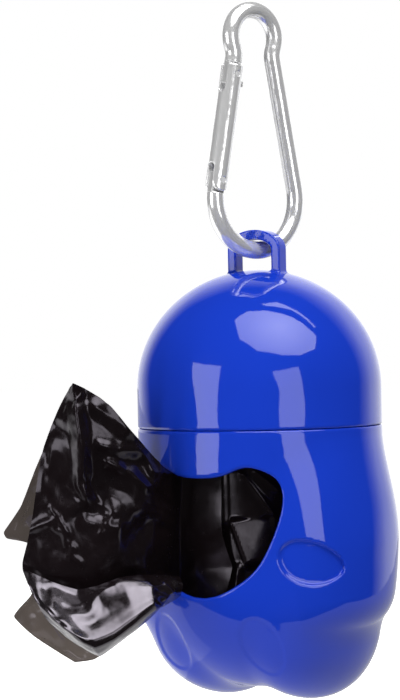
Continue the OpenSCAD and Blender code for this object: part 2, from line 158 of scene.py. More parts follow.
def spline_loop(points, n):
    """A smooth closed curve through points, with n steps from each to the next."""
    pts = np.asarray(points, float)
    out = []
    m = len(pts)
    for i in range(m):
        a, b, c, d = pts[i - 1], pts[i], pts[(i + 1) % m], pts[(i + 2) % m]
        for j in range(n):
            t = j / n
            out.append(0.5 * (2 * b + (c - a) * t + (2 * a - 5 * b + 4 * c - d) * t * t
                              + (3 * b - a - 3 * c + d) * t ** 3))
    return np.array(out)


def loop_distance(loop, lo, hi, step):
    """A signed distance raster (negative inside) of a closed outline, and a smooth lookup into it."""
    xs = np.arange(lo[0], hi[0] + step, step)
    zs = np.arange(lo[1], hi[1] + step, step)
    gx, gz = np.meshgrid(xs, zs, indexing="ij")
    p = np.stack([gx, gz], -1).reshape(-1, 2)
    best = np.full(len(p), 1e9)
    inside = np.zeros(len(p), bool)
    for a, b in zip(loop, np.roll(loop, -1, 0)):
        e = b - a
        t = np.clip(((p - a) @ e) / (e @ e), 0, 1)
        best = np.minimum(best, np.hypot(*(p - a - t[:, None] * e).T))
        cross = (a[1] > p[:, 1]) != (b[1] > p[:, 1])
        with np.errstate(divide="ignore", invalid="ignore"):
            x_at = a[0] + (p[:, 1] - a[1]) / (b[1] - a[1]) * (b[0] - a[0])
        inside ^= cross & (p[:, 0] < x_at)
    table = np.where(inside, -best, best).reshape(len(xs), len(zs))

    def look(x, z):
        u = np.clip((x - lo[0]) / step, 0, len(xs) - 1.001)
        v = np.clip((z - lo[1]) / step, 0, len(zs) - 1.001)
        i, j = u.astype(int), v.astype(int)
        fu, fv = u - i, v - j
        return ((table[i, j] * (1 - fu) + table[i + 1, j] * fu) * (1 - fv)
                + (table[i, j + 1] * (1 - fu) + table[i + 1, j + 1] * fu) * fv)
    return look


def surface(field, lo, hi, cell):
    """Surface nets over a signed field, moved onto the exact surface, with the field's own normals."""
    lo, hi = np.asarray(lo, float), np.asarray(hi, float)
    n = np.ceil((hi - lo) / cell).astype(int) + 1
    ax = [lo[k] + cell * np.arange(n[k]) for k in range(3)]
    vals = np.empty(n, np.float32)
    slab = 24
    for i in range(0, n[0], slab):
        g = np.stack(np.meshgrid(ax[0][i:i + slab], ax[1], ax[2], indexing="ij"), -1)
        vals[i:i + slab] = field(g)
    neg = vals < 0
    corners = [(i, j, k) for i in (0, 1) for j in (0, 1) for k in (0, 1)]
    part = [neg[c[0]:n[0] - 1 + c[0], c[1]:n[1] - 1 + c[1], c[2]:n[2] - 1 + c[2]] for c in corners]
    count = sum(q.astype(np.int8) for q in part)
    cells = np.argwhere((count > 0) & (count < 8))
    total = np.zeros((len(cells), 3))
    hits = np.zeros(len(cells))
    for a in corners:
        for k in range(3):
            if a[k]:
                continue
            b = tuple(c + (1 if m == k else 0) for m, c in enumerate(a))
            ia, ib = (cells + np.array(a)).T, (cells + np.array(b)).T
            va, vb = vals[tuple(ia)], vals[tuple(ib)]
            hit = (va < 0) != (vb < 0)
            t = np.where(hit, va / np.where(hit, va - vb, 1), 0)
            point = np.array(a, float)[None, :] + np.eye(3)[k] * t[:, None]
            total += point * hit[:, None]
            hits += hit
    verts = lo + cell * (cells + total / hits[:, None])
    index = np.full(n - 1, -1, np.int64)
    index[tuple(cells.T)] = np.arange(len(cells))
    faces = []
    for k in range(3):
        u, v = [m for m in range(3) if m != k]
        a = [slice(None)] * 3
        b = [slice(None)] * 3
        a[k], b[k] = slice(0, n[k] - 1), slice(1, n[k])
        change = neg[tuple(a)] != neg[tuple(b)]
        e = np.argwhere(change)
        e = e[(e[:, u] > 0) & (e[:, v] > 0) & (e[:, u] < n[u] - 1) & (e[:, v] < n[v] - 1)]
        du, dv = np.eye(3, dtype=int)[u], np.eye(3, dtype=int)[v]
        quad = np.stack([index[tuple((e - du - dv).T)], index[tuple((e - dv).T)],
                         index[tuple(e.T)], index[tuple((e - du).T)]], 1)
        inward = neg[tuple(e.T)]
        flip = inward if k == 1 else ~inward
        quad[flip] = quad[flip][:, ::-1]
        faces.append(quad)
    faces = np.concatenate(faces)
    probe = 0.02

    def grad(p):
        return np.stack([(field(p + np.eye(3)[k] * probe) - field(p - np.eye(3)[k] * probe)) / (2 * probe)
                         for k in range(3)], -1)
    for _ in range(3):
        g = grad(verts)
        step = (field(verts) / np.maximum((g * g).sum(-1), 0.05))[:, None] * g
        size = np.linalg.norm(step, axis=-1, keepdims=True)
        verts = verts - step * np.minimum(1, 0.5 * cell / np.maximum(size, 1e-9))
    g = grad(verts)
    normals = g / np.maximum(np.linalg.norm(g, axis=-1, keepdims=True), 1e-9)
    return verts, faces, normals


def mesh_object(name, verts, faces, normals=None):
    """A smooth mesh of points in mm, with their normals where those are known."""
    mesh = bpy.data.meshes.new(name)
    mesh.from_pydata((np.asarray(verts) * MM).tolist(), [], np.asarray(faces).tolist(), shade_flat=False)
    mesh.validate()
    if normals is not None:
        mesh.normals_split_custom_set_from_vertices([tuple(v) for v in normals])
    return placed(name, mesh)


# The two mouldings
def paw(p):
    """The case's outside below the seam: the palm, two outer toes and two inner ones."""
    z = p[..., 2]
    d = closed_tube(p, CASE_R, PALM_FOOT, TURN_Z, False)
    o, i = OUTER_TOE, INNER_TOE
    for side in (1, -1):
        q = p - np.array([side * o["x"], 0, o["z"]])
        high = ellipsoid(q, (o["a"], o["b"], o["up"]))
        low = ellipsoid(q, (o["a"], o["b"], o["down"]))
        low = soft_max(low, -o["heel"] - q[..., 2], 8.0)
        # The toe runs smoothly into the palm in front, and meets it in a crease at the side.
        side_on = np.clip((np.abs(p[..., 0]) - 17.5) / 5, 0, 1) * np.clip(-q[..., 2] / 8, 0, 1)
        d = soft_min(d, np.where(q[..., 2] > 0, high, low), 4.0 - 2.2 * side_on)
    for side in (1, -1):
        q = p - np.array([side * i["x"], i["y"], i["z"]])
        under = np.maximum(-q[..., 2], 0)
        q = np.stack([q[..., 0], q[..., 1] - TOE_LEAN * under ** 2, q[..., 2]], -1)
        d = soft_min(d, ellipsoid(q, (i["a"], i["b"], i["c"])), 1.5)
    # At the seam the wall is a true circle again.
    rho = np.hypot(p[..., 0], p[..., 1]) - CASE_R
    k = np.clip((z - (SEAM_Z - 3)) / 3, 0, 1)
    k = k * k * (3 - 2 * k)
    return d * (1 - k) + rho * k


_outline = [OPENING_TOP] + OPENING_HALF + [OPENING_TIP] + [(-x, d) for x, d in OPENING_HALF[::-1]]
_loop = np.array([(x, CROWN_Z - d) for x, d in spline_loop(_outline, 8)])
opening_at = loop_distance(_loop, (-20, CROWN_Z - 66), (20, CROWN_Z - 32), 0.25)


def shell_field(p):
    """The lower moulding: skin with sunk pads, wall, spigot with its bead, and the opening in front."""
    x, y, z = p[..., 0], p[..., 1], p[..., 2]
    skin = paw(p)
    for px, pz, a, b, tilt, deep_left, deep_right in PADS:
        for side, deep in ((1, deep_right), (-1, deep_left)):
            u, v = side * x - px, z - pz
            c, s = math.cos(tilt), math.sin(tilt)
            rim = np.where(y < 0, ellipsoid(np.stack([u * c + v * s, v * c - u * s], -1), (a, b)), FAR)
            skin = soft_max(skin, -soft_max(rim, -(skin + deep), 0.6), 0.6)
    d = soft_max(skin, -(paw(p) + WALL), 0.2)
    d = soft_max(d, z - SEAM_Z, 0.5)
    rho = np.hypot(x, y)
    up = z - SEAM_Z
    outer = SPIGOT_R + BEAD_PROUD * np.clip(1 - np.abs(up - SPIGOT_H / 2) / BEAD_HALF, 0, 1)
    ring = soft_max(rho - outer, SPIGOT_R - WALL - rho, 0.2)
    ring = soft_max(ring, up - SPIGOT_H, 0.4)
    ring = np.maximum(ring, -up - 1.6)
    d = np.minimum(d, ring)
    hole = np.where(y < 0, opening_at(x, z), FAR)
    return soft_max(d, -hole, 0.7)


def cap_field(p):
    """The upper moulding: a dome with the strap of its eye, hollow, with a groove for the shell's bead."""
    x, y, z = p[..., 0], p[..., 1], p[..., 2]
    z0 = CROWN_Z - DOME_H
    e = EYE
    up = z - (e["top"] - e["arch"])
    arch = ellipsoid(np.stack([x, up], -1), (e["half"], e["arch"]))
    line = np.where(up > 0, arch, np.abs(x) - e["half"])
    strap = box_field(np.stack([line, y], -1), (-e["t"], -e["depth"]), (e["t"], e["depth"]), e["round"])
    strap = np.maximum(strap, CROWN_Z - 4 - z)
    d = soft_min(closed_tube(p, CASE_R, DOME_H, z0, True), strap, 0.6)
    inner = closed_tube(p, SOCKET_R, DOME_H - WALL, z0, True)
    groove = SOCKET_R + BEAD_PROUD * np.clip(1 - np.abs(z - SEAM_Z - SPIGOT_H / 2) / BEAD_HALF, 0, 1)
    inner = np.minimum(inner, np.where(z < z0, np.hypot(x, y) - groove, FAR))
    d = soft_max(d, -inner, 0.2)
    return soft_max(d, SEAM_Z - z + 0.03, 0.5)


# The carabiner, in its own plane
WIRE_R = 1.7
GATE_R = 2.1
TOP_R, NECK_R, NECK_HALF, BOTTOM_R = 5.4, 4.0, 4.75, 9.9
TOP_Z, BOTTOM_Z = -3.7, -34.7
NECK_X = NECK_HALF + NECK_R
NECK_TURN = math.acos(NECK_X / (TOP_R + NECK_R))
NECK_Z = TOP_Z - (TOP_R + NECK_R) * math.sin(NECK_TURN)
SLOPE = math.radians(11.1153)
LEG_L = 25.3613
PIVOT_UP = 1.5
TONGUE_T, SLOT_GAP, GATE_GAP = 1.5, 0.1, 0.3
# How far short of the gate's leg the bottom bend stops, along the bend.
LEG_SPARE = 0.9
GATE_TOP, LATCH_Z = 22.5613, 20.6613
SHOULDER_Z = GATE_TOP + GATE_GAP
LEG_FOOT = np.array([BOTTOM_R * math.cos(SLOPE), BOTTOM_Z + BOTTOM_R * math.sin(SLOPE)])
LEG_TOP = np.array([NECK_X - NECK_R * math.cos(SLOPE), NECK_Z - NECK_R * math.sin(SLOPE)])
PIVOT = np.array([-LEG_FOOT[0] + PIVOT_UP * math.sin(SLOPE), LEG_FOOT[1] + PIVOT_UP * math.cos(SLOPE)])
TURN = math.radians(70)
RIVET_R, LATCH_R, BORE_R, BORE_L = 0.6, 0.55, 1.2, 13.0
HINGE_SLOT, LATCH_SLOT = 5.2, 5.6


def to_world(p):
    c, s = math.cos(TURN), math.sin(TURN)
    return np.stack([p[..., 0] * c - p[..., 1] * s, p[..., 0] * s + p[..., 1] * c, p[..., 2]], -1)


def arc_distance(x, z, cx, cz, r, a, b):
    """Plane distance to an arc of radius r round (cx, cz), from angle a to angle b in degrees."""
    ang = np.degrees(np.arctan2(z - cz, x - cx))
    mid, half = (a + b) / 2, (b - a) / 2
    off = (ang - mid + 180) % 360 - 180
    on = np.abs(off) <= half
    ring = np.abs(np.hypot(x - cx, z - cz) - r)
    ends = [np.hypot(x - cx - r * math.cos(math.radians(t)), z - cz - r * math.sin(math.radians(t)))
            for t in (a, b)]
    return np.where(on, ring, np.minimum(*ends))


def line_distance(x, z, a, b):
    """Plane distance to the straight stretch from a to b."""
    e = b - a
    t = np.clip(((x - a[0]) * e[0] + (z - a[1]) * e[1]) / (e @ e), 0, 1)
    return np.hypot(x - a[0] - t * e[0], z - a[1] - t * e[1])


def leg_frame(p):
    """Coordinates up the gate's leg from the pivot, +x outward from the carabiner."""
    x, z = p[..., 0] - PIVOT[0], p[..., 2] - PIVOT[1]
    along = x * math.sin(SLOPE) + z * math.cos(SLOPE)
    across = x * math.cos(SLOPE) - z * math.sin(SLOPE)
    return np.stack([-across, p[..., 1], along], -1)


def frame_field(p):
    """The bent wire, with the lug that the gate turns on and the nose that it closes on."""
    x, y, z = p[..., 0], p[..., 1], p[..., 2]
    n = math.degrees(NECK_TURN)
    s = math.degrees(SLOPE)
    gap = LEG_SPARE / BOTTOM_R * 180 / math.pi
    d = arc_distance(x, z, 0, TOP_Z, TOP_R, -n, 180 + n)
    d = np.minimum(d, arc_distance(x, z, NECK_X, NECK_Z, NECK_R, 180 - n, 180 + s))
    d = np.minimum(d, arc_distance(x, z, -NECK_X, NECK_Z, NECK_R, -s, n))
    d = np.minimum(d, arc_distance(x, z, 0, BOTTOM_Z, BOTTOM_R, 180 - s + gap, 360 + s))
    d = np.minimum(d, line_distance(x, z, LEG_FOOT, LEG_TOP))
    q = leg_frame(p)
    stub_a = np.array([-LEG_TOP[0], LEG_TOP[1]])
    stub_b = stub_a + 1.0 * (np.array([-LEG_FOOT[0], LEG_FOOT[1]]) - stub_a) / LEG_L
    d = np.minimum(d, line_distance(x, z, stub_a, stub_b))
    wire = np.hypot(d, y) - WIRE_R
    # The wire ends square against the gate's two ends.
    near_gate = box_field(q, (-3.5, -3, -GATE_R - GATE_GAP), (3.5, 3, SHOULDER_Z), 0.05)
    wire = soft_max(wire, -near_gate, 0.35)
    half_w = WIRE_R - 0.2
    t = TONGUE_T / 2
    lug = box_field(q, (-half_w, -t, -GATE_R - GATE_GAP - 0.5), (half_w, t, half_w), 0.15)
    lug = soft_max(lug, RIVET_R + 0.05 - np.hypot(q[..., 0], q[..., 2]), 0.1)
    stem_x = LATCH_R + 0.1
    stem_w = WIRE_R - 0.1 - stem_x
    side_x = stem_x + stem_w
    hook_z = LATCH_Z - LATCH_R - 0.2
    hook_h = 1.2
    top_z = SHOULDER_Z + 0.5
    # The nose is a stem beside the latch pin, a hook under it and a head over it.
    nose = box_field(q, (stem_x, -t, hook_z - hook_h), (side_x, t, top_z), 0.12)
    nose = np.minimum(nose, box_field(q, (-GATE_R - 0.5, -t, hook_z - hook_h), (side_x, t, hook_z), 0.15))
    nose = np.minimum(nose, box_field(q, (-half_w, -t, LATCH_Z + LATCH_R + 0.2), (side_x, t, top_z), 0.12))
    return np.minimum(np.minimum(wire, lug), nose)


def gate_field(q):
    """The gate's rod in its leg's coordinates: a slot at each end, the spring's bore and both pins' holes."""
    x, y, z = q[..., 0], q[..., 1], q[..., 2]
    rod = np.hypot(x, y) - GATE_R
    d = soft_max(rod, z - GATE_TOP, 0.35)
    foot = np.where(z < 0, np.hypot(x, z) - GATE_R, -9)
    d = soft_max(d, foot, 0.3)
    w = TONGUE_T / 2 + SLOT_GAP
    for end, way in ((-GATE_R + HINGE_SLOT, 1), (GATE_TOP - LATCH_SLOT, -1)):
        mid = end - way * w
        beyond = (z - mid) * way
        slot = np.where(beyond > 0, np.hypot(y, beyond), np.abs(y)) - w
        d = soft_max(d, -slot, 0.25)
    bore = np.maximum(np.hypot(x, y) - BORE_R, z - BORE_L)
    d = soft_max(d, -bore, 0.1)
    d = soft_max(d, RIVET_R - np.hypot(x, z), 0.15)
    return soft_max(d, LATCH_R - np.hypot(x, z - LATCH_Z), 0.15)


def gate_to_plane(q):
    """From the leg's coordinates back to the carabiner's plane."""
    across, along = -q[..., 0], q[..., 2]
    x = PIVOT[0] + across * math.cos(SLOPE) + along * math.sin(SLOPE)
    z = PIVOT[1] - across * math.sin(SLOPE) + along * math.cos(SLOPE)
    return np.stack([x, q[..., 1], z], -1)


# Materials
def new_material(name):
    mat = bpy.data.materials.new(name)
    mat.use_nodes = True
    tree = mat.node_tree
    return mat, tree, tree.nodes["Principled BSDF"]


def node(tree, kind, **values):
    n = tree.nodes.new(kind)
    for key, value in values.items():
        if key in n.inputs:
            n.inputs[key].default_value = value
        else:
            setattr(n, key, value)
    return n


def noise(tree, scale, detail, rough=0.5, stretch=(1, 1, 1), kind="FBM"):
    """Noise in object space, scale in features per metre."""
    size = node(tree, "ShaderNodeMapping", Scale=stretch)
    tree.links.new(tree.nodes.new("ShaderNodeTexCoord").outputs["Object"], size.inputs["Vector"])
    n = node(tree, "ShaderNodeTexNoise", noise_type=kind, Scale=scale, Detail=detail, Roughness=rough)
    tree.links.new(size.outputs["Vector"], n.inputs["Vector"])
    return n.outputs["Fac"]


def preset(shader, values):
    for name, value in values.items():
        shader.inputs[name].default_value = value


def ramp(tree, source, low, high, a, b):
    """Maps source from low..high to a..b."""
    r = tree.nodes.new("ShaderNodeMapRange")
    preset(r, {"From Min": low, "From Max": high, "To Min": a, "To Max": b})
    tree.links.new(source, r.inputs["Value"])
    return r.outputs["Result"]


def mix_colour(tree, factor, a, b):
    m = tree.nodes.new("ShaderNodeMix")
    m.data_type = "RGBA"
    for socket, value in ((6, a), (7, b)):
        m.inputs[socket].default_value = (*value, 1)
    tree.links.new(factor, m.inputs[0])
    return m.outputs[2]


def mix_value(tree, factor, a, b):
    """Goes from a to b as factor goes from 0 to 1, where a and b are numbers or outputs."""
    m = tree.nodes.new("ShaderNodeMix")
    for socket, value in ((2, a), (3, b)):
        if hasattr(value, "links"):
            tree.links.new(value, m.inputs[socket])
        else:
            m.inputs[socket].default_value = value
    tree.links.new(factor, m.inputs[0])
    return m.outputs[0]


def bump(tree, height, distance, strength, below=None):
    b = node(tree, "ShaderNodeBump", Strength=strength, Distance=distance)
    tree.links.new(height, b.inputs["Height"])
    if below is not None:
        tree.links.new(below, b.inputs["Normal"])
    return b.outputs["Normal"]


def blue_plastic():
    """Glossy injection-moulded plastic: deep blue, faintly wavy, with the finest of scuffs in its gloss."""
    mat, tree, bsdf = new_material("blue_plastic")
    cloud = noise(tree, 60, 3)
    colour = mix_colour(tree, cloud, (0.0070, 0.037, 0.46), (0.0085, 0.042, 0.50))
    tree.links.new(colour, bsdf.inputs["Base Color"])
    scuff = noise(tree, 900, 5, 0.7)
    tree.links.new(ramp(tree, scuff, 0.35, 0.8, 0.040, 0.075), bsdf.inputs["Roughness"])
    bsdf.inputs["IOR"].default_value = 1.5
    wave = noise(tree, 55, 1)
    fine = noise(tree, 420, 2)
    first = bump(tree, wave, 0.0011, 0.6)
    tree.links.new(bump(tree, fine, 0.00002, 0.5, first), bsdf.inputs["Normal"])
    return mat


def bag_film(name, thin, gloss=0.42, swell=0.0005):
    """Glossy black film: thin is the share that lets light through, swell its soft waves' height in m."""
    mat, tree, bsdf = new_material(name)
    cloud = noise(tree, 90, 3)
    colour = mix_colour(tree, cloud, (0.0030, 0.0018, 0.0022), (0.0080, 0.0050, 0.0058))
    tree.links.new(colour, bsdf.inputs["Base Color"])
    grain = noise(tree, 700, 4, 0.65)
    tree.links.new(ramp(tree, grain, 0.3, 0.75, 0.13, 0.30), bsdf.inputs["Roughness"])
    preset(bsdf, {"IOR": 1.54, "Specular IOR Level": gloss, "Specular Tint": (0.94, 0.87, 1.0, 1)})
    ridges = noise(tree, 170, 5, 0.62, kind="RIDGED_MULTIFRACTAL")
    soft = noise(tree, 60, 3, 0.55)
    first = bump(tree, soft, swell, 0.4)
    second = bump(tree, ridges, 0.00008, 0.4, first)
    tree.links.new(bump(tree, grain, 0.00002, 0.4, second), bsdf.inputs["Normal"])
    if thin > 0:
        clear = tree.nodes.new("ShaderNodeBsdfTransparent")
        clear.inputs["Color"].default_value = (0.62, 0.52, 0.46, 1)
        blend = tree.nodes.new("ShaderNodeMixShader")
        share = ramp(tree, cloud, 0.3, 0.7, thin * 0.8, thin * 1.2)
        tree.links.new(share, blend.inputs["Fac"])
        tree.links.new(bsdf.outputs["BSDF"], blend.inputs[1])
        tree.links.new(clear.outputs["BSDF"], blend.inputs[2])
        out = tree.nodes["Material Output"]
        tree.links.new(blend.outputs["Shader"], out.inputs["Surface"])
    return mat


def metal(name, tint, low, high, shine):
    """Tumbled aluminium or pin steel, with upright scratches and small dents, as rough as low to high."""
    mat, tree, bsdf = new_material(name)
    bsdf.inputs["Metallic"].default_value = shine
    cloud = noise(tree, 260, 3)
    dark = tuple(c * 0.86 for c in tint)
    tree.links.new(mix_colour(tree, cloud, dark, tint), bsdf.inputs["Base Color"])
    fine = noise(tree, 1500, 5, 0.7, (1, 1, 0.18))
    tree.links.new(ramp(tree, fine, 0.3, 0.75, low, high), bsdf.inputs["Roughness"])
    dents = noise(tree, 330, 2)
    first = bump(tree, dents, 0.00015, 0.5)
    tree.links.new(bump(tree, fine, 0.00002, 0.5, first), bsdf.inputs["Normal"])
    return mat


def brown_card():
    """Wound card, with fibres along the roll."""
    mat, tree, bsdf = new_material("brown_card")
    fibre = noise(tree, 1400, 6, 0.7, (1, 1, 0.35))
    tree.links.new(mix_colour(tree, fibre, (0.30, 0.19, 0.10), (0.50, 0.35, 0.21)),
                   bsdf.inputs["Base Color"])
    bsdf.inputs["Roughness"].default_value = 0.85
    tree.links.new(bump(tree, fibre, 0.00006, 0.6), bsdf.inputs["Normal"])
    return mat


PLASTIC = blue_plastic()
FILM = bag_film("black_film", 0)
FLAP_FILM = bag_film("black_film_flap", 0, 1.0, 0.00035)
THIN_FILM = bag_film("black_film_thin", 0.085)
ROLL_FILM = bag_film("black_film_wound", 0)
ALUMINIUM = metal("polished_aluminium", (0.96, 0.96, 0.965), 0.09, 0.20, 0.6)
STEEL = metal("pin_steel", (0.78, 0.78, 0.79), 0.25, 0.4, 0.3)
CARD = brown_card()


def paint(obj, mat):
    obj.data.materials.clear()
    obj.data.materials.append(mat)


def finish_piece(obj, mat, body, slot, *nodes):
    """A visible piece: its material, the body it rides on, its slot, which is not used, and the nodes that it
    replaces.
    """
    paint(obj, mat)
    if body:
        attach(obj, body)
    if nodes:
        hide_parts(*nodes)


# Rigid pieces
COARSER = 1.0
# Each field's box, as its low and high corner, and the size of its cells.
SHELL_GRID = (-27.6, -24.6, -131.8), (27.6, 24.6, -70.4), 0.40 * COARSER
CAP_GRID = (-24.6, -24.6, -79.6), (24.6, 24.6, -39.6), 0.40 * COARSER
WIRE_GRID = (-12.6, -2.2, -47.2), (12.6, 2.2, 4.2), 0.20 * COARSER
GATE_GRID = (-2.5, -2.5, -2.6), (2.5, 2.5, 23.2), 0.13 * COARSER


def build_rigid():
    v, f, n = surface(shell_field, *SHELL_GRID)
    finish_piece(mesh_object("shell_skin", v, f, n), PLASTIC, "shell", "blue_plastic", "paw_shell")
    v, f, n = surface(cap_field, *CAP_GRID)
    finish_piece(mesh_object("cap_skin", v, f, n), PLASTIC, "cap", "blue_plastic", "cap")
    v, f, n = surface(frame_field, *WIRE_GRID)
    finish_piece(mesh_object("carabiner_wire", to_world(v), f, to_world(n)), ALUMINIUM, "carabiner",
                 "polished_aluminium", "carabiner_frame")
    v, f, n = surface(gate_field, *GATE_GRID)
    origin = gate_to_plane(np.zeros(3))
    # The leg's frame is a mirror image, so its faces turn round.
    finish_piece(mesh_object("gate_rod", to_world(gate_to_plane(v)), f[:, ::-1],
                             to_world(gate_to_plane(n) - origin)), ALUMINIUM, "gate",
                 "polished_aluminium", "carabiner_gate")
    for name, mat in (("gate_hinge_rivet", STEEL), ("gate_latch_pin", STEEL), ("gate_spring", STEEL),
                      ("roll_core", CARD)):
        paint(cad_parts[name], mat)


build_rigid()

# Film
# The sheets are placed in quarters of the photograph's pixels, from its left edge and from the row FILM_TOP.
QUARTERS, FILM_TOP = 4, 370
# A sheet buckles at this many times its size, with its border held, and is then drawn FINER times finer.
CLOTH_SCALE, CLOTH_FRAMES, HEM, FINER = 100.0, 24, 0.12, 7
CLOTH = dict(quality=6, mass=0.25, tension_stiffness=14, compression_stiffness=14, shear_stiffness=5,
             bending_stiffness=0.3, tension_damping=4, compression_damping=4, shear_damping=4,
             air_damping=1.5, vertex_group_mass="pin", pin_stiffness=1.0)
CREASE_H, CREASE_CELL = 0.05, 2.6


def catmull(t, n):
    """Row weights that take n control values to the curve's value at each t in 0..1."""
    x = np.clip(t, 0, 1) * (n - 1)
    i = np.minimum(x.astype(int), n - 2)
    f = x - i
    w = np.zeros((len(t), n))
    parts = (-0.5 * f + f ** 2 - 0.5 * f ** 3, 1 - 2.5 * f ** 2 + 1.5 * f ** 3,
             0.5 * f + 2 * f ** 2 - 1.5 * f ** 3, -0.5 * f ** 2 + 0.5 * f ** 3)
    for k, part in enumerate(parts):
        np.add.at(w, (np.arange(len(t)), np.clip(i + k - 1, 0, n - 1)), part)
    return w


def straight(t, n):
    """Row weights for straight lines between n control values."""
    x = np.clip(t, 0, 1) * (n - 1)
    i = np.minimum(x.astype(int), n - 2)
    w = np.zeros((len(t), n))
    w[np.arange(len(t)), i] = 1 - (x - i)
    w[np.arange(len(t)), i + 1] = x - i
    return w


def patch(grid, nu, nv, crisp=0.6):
    """A fine grid of points through a coarse one (rows x columns x 3). Folds are sharp as crisp nears 1."""
    grid = np.asarray(grid, float)
    u, v = np.linspace(0, 1, nu), np.linspace(0, 1, nv)
    a = crisp * straight(u, grid.shape[0]) + (1 - crisp) * catmull(u, grid.shape[0])
    b = crisp * straight(v, grid.shape[1]) + (1 - crisp) * catmull(v, grid.shape[1])
    return np.einsum("ai,bj,ijk->abk", a, b, grid)


def relax(points, rounds):
    """Rounds off the sharpest creases."""
    p = points.copy()
    for _ in range(rounds):
        q = p.copy()
        q[1:-1] += 0.25 * (p[:-2] - 2 * p[1:-1] + p[2:])
        q[:, 1:-1] += 0.25 * (p[:, :-2] - 2 * p[:, 1:-1] + p[:, 2:])
        p = q
    return p


def grid_faces(nu, nv):
    i, j = np.meshgrid(np.arange(nu - 1), np.arange(nv - 1), indexing="ij")
    a = (i * nv + j).ravel()
    return np.stack([a, a + 1, a + nv + 1, a + nv], 1)


def value_noise(p, scale, seed):
    """Smooth noise in -1..1 at points p, with cells of scale mm."""
    q = p / scale
    base = np.floor(q).astype(np.int64)
    f = q - base
    f = f * f * (3 - 2 * f)
    total = np.zeros(len(p))
    for c in range(8):
        off = np.array([(c >> k) & 1 for k in range(3)])
        h = (base + off) @ np.array([374761393, 668265263, 2147483647]) + seed * 974634777
        h = (h ^ (h >> 13)) * 1274126177
        h = ((h ^ (h >> 16)) & 0xFFFFFF) / 0xFFFFFF * 2 - 1
        total += h * np.prod(np.where(off == 1, f, 1 - f), axis=1)
    return total


def creases(p, scale, seed):
    """Noise with sharp ridges, like the creases of thin film, in 0..1."""
    return 1 - np.abs(value_noise(p, scale, seed) + 0.4 * value_noise(p, scale * 0.45, seed + 7))


def crumple(points, growth, pinned, seed):
    """Lets a sheet that has grown a little buckle between the points that hold it."""
    nu, nv = points.shape[:2]
    flat = points.reshape(-1, 3)
    mesh = bpy.data.meshes.new("sim")
    start = flat + np.stack([value_noise(flat, 8.0, seed + k) for k in range(3)], -1) * 0.4
    mesh.from_pydata([tuple(p) for p in start * MM * CLOTH_SCALE], [], grid_faces(nu, nv).tolist())
    obj = placed("sim", mesh)
    group = obj.vertex_groups.new(name="pin")
    for i, w in enumerate(pinned.ravel()):
        if w > 0.01:
            group.add([i], float(w), "REPLACE")
    mod = obj.modifiers.new("cloth", "CLOTH")
    for key, value in CLOTH.items():
        setattr(mod.settings, key, value)
    mod.settings.shrink_min = -growth
    mod.settings.effector_weights.gravity = 0
    mod.point_cache.frame_start, mod.point_cache.frame_end = 1, CLOTH_FRAMES
    for k in range(1, CLOTH_FRAMES + 1):
        scene.frame_set(k)
    got = obj.evaluated_get(bpy.context.evaluated_depsgraph_get()).to_mesh()
    out = np.empty(len(got.vertices) * 3)
    got.vertices.foreach_get("co", out)
    bpy.data.objects.remove(obj)
    bpy.data.meshes.remove(mesh)
    scene.frame_set(1)
    return out.reshape(nu, nv, 3) / MM / CLOTH_SCALE


def shares(nu, nv):
    """How far down and how far out each point of a sheet is, from 0 to 1."""
    return np.meshgrid(np.linspace(0, 1, nu), np.linspace(0, 1, nv), indexing="ij")


def edge_pins(nu, nv):
    """Weights that hold a sheet's border and let its middle go."""
    down, out = shares(nu, nv)
    edge = np.minimum(np.minimum(down, 1 - down), np.minimum(out, 1 - out))
    return np.clip(1 - edge / HEM, 0, 1)


def normals_of(points):
    du, dv = np.gradient(points, axis=0), np.gradient(points, axis=1)
    n = np.cross(du, dv)
    return n / np.maximum(np.linalg.norm(n, axis=-1, keepdims=True), 1e-9)


def crinkle(points, seed):
    """Fine creases, moved into the mesh itself."""
    p = points.reshape(-1, 3)
    rough = value_noise(p, CREASE_CELL * 0.3, seed + 3)
    h = (creases(p, CREASE_CELL, seed) - 0.6) * CREASE_H + rough * CREASE_H * 0.15
    return points + normals_of(points) * h.reshape(points.shape[:2])[..., None]


def enlarged(rows):
    """The points where rows of (x, y, near) lie, near in mm."""
    return [[seen_at(x / QUARTERS, FILM_TOP + y / QUARTERS, near) for x, y, near in row] for row in rows]


def ridged(points, lines):
    """Raises ridges, or sinks valleys, along lines: x and y of both ends, height in mm, half width."""
    d = points - TARGET
    near = d @ TOWARD
    s = FOCAL / (CAM_DIST - near)
    seen = np.stack([(PICTURE_W / 2 + s * (d @ RIGHT)) * QUARTERS,
                     (PICTURE_H / 2 - s * (d @ UP) - FILM_TOP) * QUARTERS], -1)
    lift = np.zeros(points.shape[:2])
    for x0, y0, x1, y1, high, wide in lines:
        e = np.array([x1 - x0, y1 - y0], float)
        q = seen - np.array([x0, y0])
        t = q @ e / (e @ e)
        off = np.linalg.norm(q - np.clip(t, 0, 1)[..., None] * e, axis=-1)
        ridge = high * np.clip(1 - off / wide, 0, 1)
        lift = np.maximum(lift, ridge) if high > 0 else lift + ridge
    flat = points.reshape(-1, 3)
    rough = value_noise(flat, 0.9, 21) + 0.6 * value_noise(flat, 0.45, 22)
    lift = lift * (1 + 0.13 * rough.reshape(lift.shape) * (lift > 0))
    return points + lift[..., None] * TOWARD


